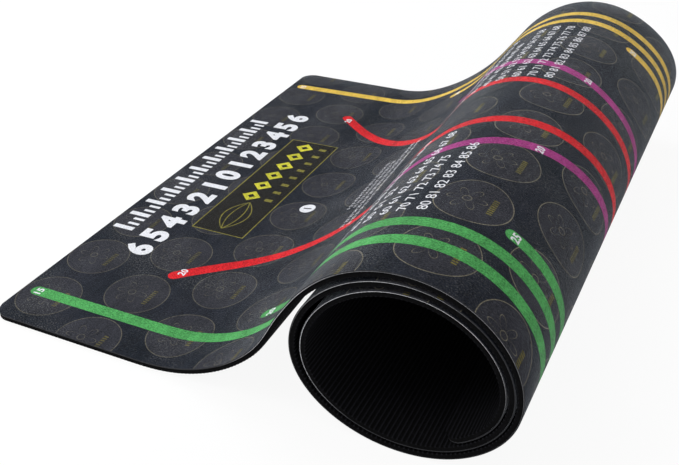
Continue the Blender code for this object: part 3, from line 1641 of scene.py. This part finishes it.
@dataclass
class FaceMarks:
    """What is printed on the face in white, and the dark number on its white disc."""

    line: MatLine
    wander: Wander = Wander()
    film: float = 0.00006
    cut_pitch: float = 0.0030
    disc_corners: int = 48
    text_resolution: int = 4
    big_row: float = 0.0620
    big_pitch: float = 0.0300
    big_last: int = 6
    big_height: float = 0.0320
    big_weight: float = 0.10
    bar_row: float = 0.0205
    bar_last: int = 15
    bars_per_number: int = 3
    long_bar: tuple[float, float] = (0.0250, 0.0066)
    short_bar: tuple[float, float] = (0.01375, 0.0040)
    disc_place: tuple[float, float] = (0.189, -0.038)
    disc_radius: float = 0.0093
    disc_number: float = 0.0095
    line_number: float = 0.0080
    flat_numbers: tuple[tuple[str, float, float], ...] = (("15", 0.0190, 0.284),)
    rolled_numbers: tuple[tuple[str, float, float], ...] = (
        ("20", 0.1300, 0.1985),
        ("20", 0.2740, 0.2560),
        ("20", 0.5140, 0.0900),
        ("25", 0.5370, 0.2280),
    )
    small_rows: tuple[CountRow, ...] = (
        CountRow(0.2520, -0.053, 0.060, 0.0046),
        CountRow(0.2605, -0.053, 0.060, 0.0046),
        CountRow(0.2700, -0.103, 0.102, 0.0052),
        CountRow(0.2800, -0.103, 0.102, 0.0052),
    )
    paragraphs: tuple[Paragraph, ...] = (
        Paragraph(0.4610, -0.237, (-0.109, -0.134, -0.073, -0.178, -0.060, -0.085, -0.072, -0.110)),
        Paragraph(0.4775, 0.064, (0.236, 0.233, 0.236, 0.234, 0.200, 0.235, 0.180, 0.236)),
    )

    def line_numbers(self, numbers: Iterable[tuple[str, float, float]]) -> list[Mark]:
        """Set the numbers on the coloured lines.

        Args:
            numbers: Each one's text, its distance, and its place aside from the middle.

        Returns:
            The numbers, on both sides of the middle.
        """
        return [
            Numeral(text, distance, side * aside, self.line_number)
            for side in (-1, 1)
            for text, distance, aside in numbers
        ]

    def flat_end_marks(self) -> list[Mark]:
        """Lay out the big scale across the flat end, and the numbers on the outer lines.

        Returns:
            The marks.
        """
        found: list[Mark] = []
        for step in range(-self.big_last, self.big_last + 1):
            across = step * self.big_pitch
            found.append(Numeral(str(abs(step)), self.big_row, across, self.big_height, self.big_weight))
        foot = self.bar_row + self.long_bar[0] / 2
        for step in range(-self.bar_last, self.bar_last + 1):
            length, width = self.short_bar if step % self.bars_per_number else self.long_bar
            across = step * self.big_pitch / self.bars_per_number
            found.append(Bar(foot - length / 2, across, length, width))
        return found + self.line_numbers(self.flat_numbers)

    def rolled_marks(self) -> list[Mark]:
        """Lay out the disc, the rows of small numbers, and the numbers on the other lines.

        Returns:
            The marks.
        """
        found: list[Mark] = [Disc(*self.disc_place, self.disc_radius)]
        found += [row.numeral(index * COUNT_STEP + 1) for index, row in enumerate(self.small_rows)]
        for paragraph in self.paragraphs:
            found += paragraph.numerals()
        return found + self.line_numbers(self.rolled_numbers)

    def disc_marks(self) -> list[Mark]:
        """Lay out the number on the disc."""
        return [Numeral("1", *self.disc_place, self.disc_number)]

    def draw(self, mark: Mark) -> bpy.types.Object:
        """Draw one mark as a flat face on the plan.

        Args:
            mark: The mark.

        Returns:
            The flat mesh.
        """
        deselect()
        place = (mark.distance, mark.across, 0.0)
        if isinstance(mark, Bar):
            bpy.ops.mesh.primitive_plane_add(size=1, location=place)
            bpy.context.object.scale = (mark.length, mark.width, 1.0)
        elif isinstance(mark, Disc):
            bpy.ops.mesh.primitive_circle_add(
                vertices=self.disc_corners, radius=mark.radius, fill_type="NGON", location=place
            )
        else:
            bpy.ops.object.text_add(rotation=(0, 0, math.pi / 2))
            self.set_text(bpy.context.object, mark)
        bpy.ops.object.transform_apply()
        return bpy.context.object

    def set_text(self, drawn: bpy.types.Object, mark: Numeral) -> None:
        """Make a text object a flat mesh of the mark's height, its middle in place.

        Args:
            drawn: The text object, which is the active one.
            mark: The numbers.
        """
        drawn.data.body = mark.text
        drawn.data.size = 1.0
        drawn.data.offset = mark.weight / 2
        drawn.data.space_character = 1.0 + mark.weight
        drawn.data.resolution_u = self.text_resolution
        bpy.ops.object.convert(target="MESH")
        points = read_points(drawn)
        low, high = points.min(0), points.max(0)
        write_points(drawn, points - (low + high) / 2)
        scale = mark.height / (high[1] - low[1])
        stretched = mark.length / (high[0] - low[0]) if mark.length else scale
        drawn.scale = (stretched, scale, 1.0)
        drawn.location = (mark.distance, mark.across, 0.0)

    def cut_up(self, drawn: bpy.types.Object) -> None:
        """Cut flat marks along lines across the mat, so that they can follow its curve.

        Args:
            drawn: The flat marks, which are the active object.
        """
        along = read_points(drawn)[:, 0]
        first = math.ceil(along.min() / self.cut_pitch)
        last = math.floor(along.max() / self.cut_pitch)
        bpy.ops.object.mode_set(mode="EDIT")
        for index in range(first, last + 1):
            bpy.ops.mesh.select_all(action="SELECT")
            bpy.ops.mesh.bisect(plane_co=(index * self.cut_pitch, 0, 0), plane_no=(1, 0, 0))
        bpy.ops.object.mode_set(mode="OBJECT")

    def build(
        self, name: str, marks: Iterable[Mark], layer: Layer, material: bpy.types.Material
    ) -> bpy.types.Object:
        """Model a set of marks as one thin film on the face.

        Args:
            name: The piece's name.
            marks: What it holds.
            layer: What it lies on.
            material: The ink.

        Returns:
            The finished piece.
        """
        drawn = [self.draw(mark) for mark in marks]
        deselect()
        for item in drawn:
            item.select_set(True)
        bpy.context.view_layer.objects.active = drawn[0]
        if len(drawn) > 1:
            bpy.ops.object.join()
        film = bpy.context.object
        film.name = name
        self.cut_up(film)
        thicken(film, 2 * self.film, 0.0)
        map_plan(film)
        film.data.materials.append(material)
        plan = read_points(film)
        plan[:, 0], plan[:, 1] = self.wander.moved(plan[:, 0], plan[:, 1])
        plan[:, 2] += self.line.cloth + layer.value * self.film
        write_points(film, self.line.roll_up(plan, Side.FACE))
        film.data.shade_flat()
        return film


@dataclass(frozen=True)
class AreaLight:
    """A soft square lamp that looks at the mat."""

    name: str
    location: tuple[float, float, float]
    size: float
    power: float
    tint: tuple[float, float, float] = (1.0, 1.0, 1.0)

    def add(self, target: Vector) -> None:
        """Add the lamp.

        Args:
            target: What it looks at.
        """
        bpy.ops.object.light_add(type="AREA", location=self.location)
        lamp = bpy.context.object
        lamp.name = self.name
        lamp.data.shape = "SQUARE"
        lamp.data.size = self.size
        lamp.data.energy = self.power
        lamp.data.color = self.tint
        facing = (target - Vector(self.location)).to_track_quat("-Z", "Y")
        lamp.rotation_euler = facing.to_euler()


@dataclass(frozen=True)
class Studio:
    """The floor, the soft light and the camera."""

    floor_size: float = 14.0
    floor_height: float = -0.0002
    floor_white: float = 0.95
    floor_glow: float = 0.92
    world_level: float = 0.52
    lamps: tuple[AreaLight, ...] = (
        AreaLight("key_light", (-0.9, 0.9, 1.9), 1.4, 15.0, (0.90, 0.96, 1.0)),
        AreaLight("window_light", (-1.8, 0.5, 0.6), 1.2, 20.0, (0.90, 0.96, 1.0)),
        AreaLight("fill_light", (1.6, -1.4, 1.5), 1.6, 5.0),
        AreaLight("front_light", (-0.55, -0.62, 0.85), 0.5, 4.0),
    )
    target: Vector = Vector((0.0, 0.0, 0.05))
    eye: Vector = Vector((0.3319, -0.7928, 0.5091))
    turn: float = math.radians(25.82)
    tilt: float = math.radians(90 - 31.89)
    roll: float = math.radians(-0.84)
    lens: float = 46.69
    near_clip: float = 0.01

    def seen(self, graph: Graph) -> Socket:
        """Tell the rays from the camera, a mirror or glass from the rest.

        Args:
            graph: The graph to work in.

        Returns:
            1 for such a ray, and 0 for another.
        """
        path = graph.node("ShaderNodeLightPath").outputs
        clear = graph.largest(path["Is Glossy Ray"], path["Is Transmission Ray"])
        return graph.largest(path["Is Camera Ray"], clear)

    def add_floor(self) -> None:
        """Add a pale floor that keeps the mat's shadow and otherwise shows white."""
        deselect()
        bpy.ops.mesh.primitive_plane_add(size=self.floor_size, location=(0, 0, self.floor_height))
        floor = bpy.context.object
        floor.name = "studio_floor"
        white = (*(self.floor_white,) * 3, 1.0)
        settings = {"Base Color": white, "Roughness": 1.0, "Specular IOR Level": 0.0}
        material, graph, shader = start_material("studio_floor", settings)
        glow = graph.node("ShaderNodeEmission", {"Color": WHITE})
        share = graph.times(self.seen(graph), self.floor_glow)
        mixed = graph.node("ShaderNodeMixShader", {"Fac": share})
        graph.put(mixed.inputs[1], shader.outputs[0])
        graph.put(mixed.inputs[2], glow.outputs[0])
        graph.put(material.node_tree.nodes["Material Output"].inputs["Surface"], mixed.outputs[0])
        floor.data.materials.append(material)

    def add_world(self) -> None:
        """Light the mat from all round, and show white past the floor."""
        world = bpy.data.worlds.new("studio_world")
        bpy.context.scene.world = world
        world.use_nodes = True
        graph = Graph(world.node_tree)
        backdrop = world.node_tree.nodes["Background"]
        backdrop.inputs["Color"].default_value = WHITE
        strength = graph.times_plus(self.seen(graph), 1.0 - self.world_level, self.world_level)
        graph.put(backdrop.inputs["Strength"], strength)

    def add_camera(self) -> None:
        """Add the camera at the photograph's view."""
        bpy.ops.object.camera_add()
        camera = bpy.context.object
        camera.name = "photo_camera"
        camera.data.lens = self.lens
        camera.data.clip_start = self.near_clip
        turned = Matrix.Rotation(self.turn, 4, "Z") @ Matrix.Rotation(self.tilt, 4, "X")
        rolled = turned @ Matrix.Rotation(self.roll, 4, "Z")
        camera.matrix_world = Matrix.Translation(self.eye) @ rolled
        bpy.context.scene.camera = camera

    def build(self) -> None:
        """Set up the studio."""
        self.add_floor()
        self.add_world()
        for lamp in self.lamps:
            lamp.add(self.target)
        self.add_camera()
        bpy.context.scene.view_settings.view_transform = "Standard"


def report(piece: bpy.types.Object) -> None:
    """Log a piece's name and size.

    Args:
        piece: The finished piece.
    """
    triangles = sum(len(face.vertices) - 2 for face in piece.data.polygons)
    sizes = " x ".join(f"{1000 * value:.1f}" for value in piece.dimensions)
    LOG.info("%s: %d triangles, %s mm", piece.name, triangles, sizes)


def build_mat(frame: dict[str, Any]) -> None:
    """Model and dress the mat.
    """
    joints = {joint["name"]: joint for joint in frame["joints"]}
    line = MatLine()
    effects = Effects()
    suede = [PrintedSuede().material(effects), CutSuede().material(effects)]
    rubber = [
        NaturalRubber("natural_rubber").material(effects),
        NaturalRubber("cut_rubber_edge", CUT_RUBBER, pores=CUT_PORES).material(effects),
    ]
    white = Ink("white_ink", WHITE_INK).material(effects)
    dark = Ink("dark_ink", DARK_INK).material(effects)
    face, base, marks = SuedeFace(line), RubberBase(line), FaceMarks(line)
    inked = {
        "rolled": [
            marks.build("white_ink_rolled", marks.rolled_marks(), Layer.ON_SUEDE, white),
            marks.build("dark_ink_rolled", marks.disc_marks(), Layer.ON_INK, dark),
        ],
        "flat_end": [
            marks.build("white_ink_flat_end", marks.flat_end_marks(), Layer.ON_SUEDE, white)
        ],
    }
    for stretch in STRETCHES:
        rubber_piece = base.build(stretch, rubber)
        suede_piece = face.build(stretch, suede)
        ink = inked.get(stretch.name, [])
        for piece in (rubber_piece, suede_piece, *ink):
            Bend().apply(piece, joints[stretch.joint])
            report(piece)


def main() -> None:
    """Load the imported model, build the mat and the studio, and note the sizes."""
    logging.basicConfig(level=logging.INFO, format="%(message)s")
    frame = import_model()
    build_mat(frame)
    Studio().build()


if __name__ == "__main__":
    main()
